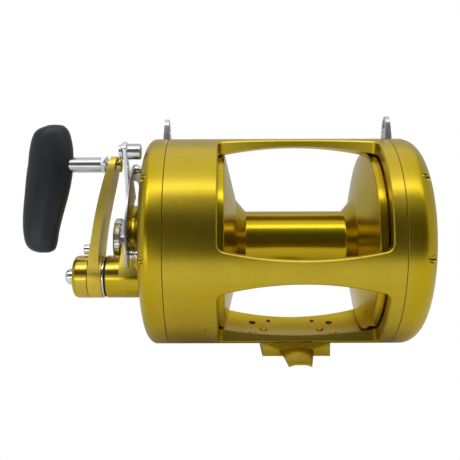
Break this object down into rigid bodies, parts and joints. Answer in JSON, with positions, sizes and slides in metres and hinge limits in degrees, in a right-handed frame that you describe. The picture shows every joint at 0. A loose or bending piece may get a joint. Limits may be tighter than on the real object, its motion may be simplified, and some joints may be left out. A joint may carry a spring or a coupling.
{
  "type": "trolling reel",
  "caption": "Two-speed lever-drag trolling reel with an open frame, wide spool, crank handle and rod foot.",
  "frame": {"origin": "middle of the flat land under the foot, where the rod's reel seat carries the reel", "axes": "+X along the spool axis to the plain side plate (the handle is at -X), -Y to the line outlet, +Z from the foot up to the spool axis"},
  "size_m": [0.3365, 0.176, 0.2062],
  "materials": {
    "gold_anodised": "satin gold anodising",
    "gold_screws": "gold anodised screws",
    "steel": "fine brushed stainless steel",
    "chrome": "polished",
    "gear_bronze": "machined bronze",
    "black_grip": "satin black",
    "carbon_lining": "woven carbon drag lining",
    "seal_rubber": "matt black"
  },
  "bodies": {
    "body": {"frame": "gold_anodised", "gear_side_plate": "gold_anodised", "far_side_plate": "gold_anodised", "gear_case": "gold_anodised", "cam_hub": "gold_anodised", "handle_bearing": "steel", "housing_seal": "seal_rubber", "quadrant_plate": "steel", "quadrant_post_1": "chrome", "quadrant_post_2": "chrome", "quadrant_post_3": "chrome", "harness_lug_gear_side": "chrome", "harness_lug_far_side": "chrome", "reel_foot": "gold_anodised", "foot_screw_left": "gold_screws", "foot_screw_right": "gold_screws", "stud_plug_left": "gold_screws", "stud_plug_right": "gold_screws", "far_bearing_cap": "gold_anodised", "dog_pin_1": "steel", "dog_pin_2": "steel", "gear_side_screw_1": "gold_screws", "gear_side_screw_2": "gold_screws", "gear_side_screw_3": "gold_screws", "gear_side_screw_4": "gold_screws", "gear_side_screw_5": "gold_screws", "far_side_screw_1": "gold_screws", "far_side_screw_2": "gold_screws", "far_side_screw_3": "gold_screws", "far_side_screw_4": "gold_screws", "far_side_screw_5": "gold_screws"},
    "shaft": {"spool_shaft": "steel", "drag_spring_washers": "steel"},
    "spool": {"spool": "gold_anodised", "spool_bearing_gear_side": "steel", "spool_bearing_far_side": "steel", "drag_disc": "carbon_lining", "click_ratchet": "steel"},
    "pinion": {"pinion_cluster": "gear_bronze", "anti_reverse_ratchet": "steel", "pressure_plate": "steel"},
    "low_gear": {"low_gear": "gear_bronze"},
    "handle": {"handle_shaft": "steel", "high_gear": "gear_bronze", "handle_arm": "gold_anodised", "handle_hub_cap": "gold_anodised", "arm_screw": "chrome", "grip_spindle": "steel", "spindle_nut": "gold_anodised", "chrome_collar": "chrome"},
    "grip": {"grip": "black_grip"},
    "shifter": {"shift_button": "chrome"},
    "drag_lever": {"drag_lever": "chrome", "lever_knob": "chrome", "lever_knob_sleeve": "chrome"},
    "preset_knob": {"preset_knob": "chrome"},
    "clicker": {"clicker_button": "chrome", "clicker_pawl": "steel"},
    "dog_1": {"anti_reverse_dog_1": "steel"},
    "dog_2": {"anti_reverse_dog_2": "steel"}
  },
  "joints": [
    {"name": "handle_spin", "type": "hinge", "parent": "body", "child": "handle", "pos_m": [-0.165, -0.02466, 0.06722], "axis": [1, 0, 0], "continuous": true},
    {"name": "spool_spin", "type": "hinge", "parent": "shaft", "child": "spool", "pos_m": [0, 0, 0.0963], "axis": [1, 0, 0], "continuous": true},
    {"name": "pinion_spin", "type": "hinge", "parent": "body", "child": "pinion", "pos_m": [-0.095, 0, 0.0963], "axis": [1, 0, 0], "continuous": true},
    {"name": "low_gear_spin", "type": "hinge", "parent": "body", "child": "low_gear", "pos_m": [-0.1077, -0.02466, 0.06722], "axis": [1, 0, 0], "continuous": true},
    {"name": "grip_spin", "type": "hinge", "parent": "handle", "child": "grip", "pos_m": [-0.205, -0.02466, 0.1604], "axis": [1, 0, 0], "continuous": true},
    {"name": "shift_slide", "type": "slide", "parent": "handle", "child": "shifter", "axis": [1, 0, 0], "range_m": [0, 0.005], "stiffness_N_per_m": 400},
    {"name": "drag_lever_turn", "type": "hinge", "parent": "body", "child": "drag_lever", "pos_m": [-0.1397, 0, 0.0963], "axis": [1, 0, 0], "range_deg": [-85, 35]},
    {"name": "shaft_slide", "type": "slide", "parent": "body", "child": "shaft", "axis": [1, 0, 0], "range_m": [-0.0004, 0.0004]},
    {"name": "preset_knob_turn", "type": "hinge", "parent": "drag_lever", "child": "preset_knob", "pos_m": [-0.15, 0, 0.0963], "axis": [1, 0, 0], "range_deg": [-360, 360]},
    {"name": "clicker_slide", "type": "slide", "parent": "body", "child": "clicker", "axis": [0, 0, -1], "range_m": [-0.005, 0]},
    {"name": "dog_1_turn", "type": "hinge", "parent": "body", "child": "dog_1", "pos_m": [-0.1005, 0.04443, 0.10821], "axis": [1, 0, 0], "range_deg": [-12, 0]},
    {"name": "dog_2_turn", "type": "hinge", "parent": "body", "child": "dog_2", "pos_m": [-0.1005, -0.01191, 0.14073], "axis": [1, 0, 0], "range_deg": [-12, 0]}
  ],
  "couplings": [
    {"joint": "spool_spin", "follows": "handle_spin", "ratio": -3.0667},
    {"joint": "pinion_spin", "follows": "handle_spin", "ratio": -3.0667},
    {"joint": "low_gear_spin", "follows": "handle_spin", "ratio": 2.2781},
    {"joint": "shaft_slide", "follows": "drag_lever_turn", "m_per_rad": -0.00018}
  ]
}
